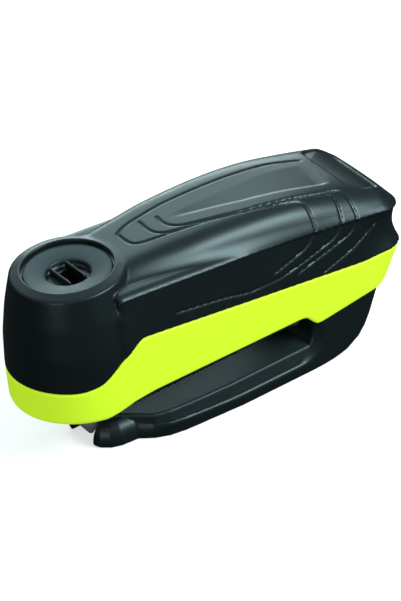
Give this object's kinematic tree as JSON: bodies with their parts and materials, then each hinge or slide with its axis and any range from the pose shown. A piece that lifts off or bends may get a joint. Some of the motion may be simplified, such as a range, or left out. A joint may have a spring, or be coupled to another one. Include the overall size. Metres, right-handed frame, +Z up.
{
  "type": "motorcycle disc brake lock",
  "caption": "Disc brake lock: C-shaped steel jaw with a push-down locking bolt, keyed plunger head, black shells, a bright side band and an alarm module",
  "frame": {"origin": "middle of the lock's length and width, on the plane its flat jaw underside rests on", "axes": "+X along the length from the locking bolt to the closed heel; +Y across the lock; +Z up, along the bolt, from the jaw to the keyed head"},
  "size_m": [0.1296, 0.045, 0.0607],
  "materials": {
    "satin_black_shell": "satin, fine spark texture",
    "neon_band": "satin bright yellow-green",
    "face_black": "satin",
    "hardened_steel": "ground and hardened",
    "forged_steel": "blackened forging",
    "zinc_steel": "zinc plated",
    "brass_parts": "turned",
    "black_rubber": "moulded",
    "tray_plastic": "moulded",
    "board_green": "solder mask",
    "component_black": "moulded",
    "cell_jacket": "printed sleeve, left plain",
    "siren_grey": "moulded",
    "magnet_grey": "nickel plated"
  },
  "bodies": {
    "lock_body": {"steel_frame": "forged_steel", "top_cover": "satin_black_shell", "trim_band": "neon_band", "slot_roof_cover": "satin_black_shell", "jaw_cover": "satin_black_shell", "jaw_plate": "face_black", "guide_sleeve": "hardened_steel", "sleeve_ring": "zinc_steel", "wiper_seal": "black_rubber", "spring_seat": "zinc_steel", "return_spring": "zinc_steel", "alarm_tray": "tray_plastic", "battery_cells": "cell_jacket", "battery_contacts": "zinc_steel", "circuit_board": "board_green", "board_components": "component_black", "tilt_sensor": "siren_grey", "siren": "siren_grey", "bolt_sensor": "component_black", "cover_screws": "forged_steel", "jaw_screws": "forged_steel"},
    "plunger": {"plunger_barrel": "hardened_steel", "face_disc": "face_black", "locking_bolt": "hardened_steel", "bolt_cross_pin": "zinc_steel", "barrel_oring": "black_rubber", "sensor_magnet": "magnet_grey"},
    "key_core": {"key_plug": "component_black", "detainer_discs": "brass_parts", "disc_spacers": "zinc_steel", "latch_cam": "hardened_steel"},
    "latch_pin_far": {"latch_pin_far": "hardened_steel"},
    "latch_pin_near": {"latch_pin_near": "hardened_steel"}
  },
  "joints": [
    {"name": "plunger_slide", "type": "slide", "parent": "lock_body", "child": "plunger", "axis": [0, 0, 1], "range_m": [0, 0.021], "deforming": ["return_spring"]},
    {"name": "key_turn", "type": "hinge", "parent": "plunger", "child": "key_core", "pos_m": [-0.04225, 0, 0.05], "axis": [0, 0, 1], "range_deg": [0, 90]},
    {"name": "latch_far_slide", "type": "slide", "parent": "plunger", "child": "latch_pin_far", "axis": [0, 1, 0], "range_m": [0, 0.0016]},
    {"name": "latch_near_slide", "type": "slide", "parent": "plunger", "child": "latch_pin_near", "axis": [0, -1, 0], "range_m": [0, 0.0016]}
  ],
  "couplings": [
    {"joint": "latch_far_slide", "follows": "key_turn", "m_per_rad": 0.0010186},
    {"joint": "latch_near_slide", "follows": "key_turn", "m_per_rad": 0.0010186}
  ]
}
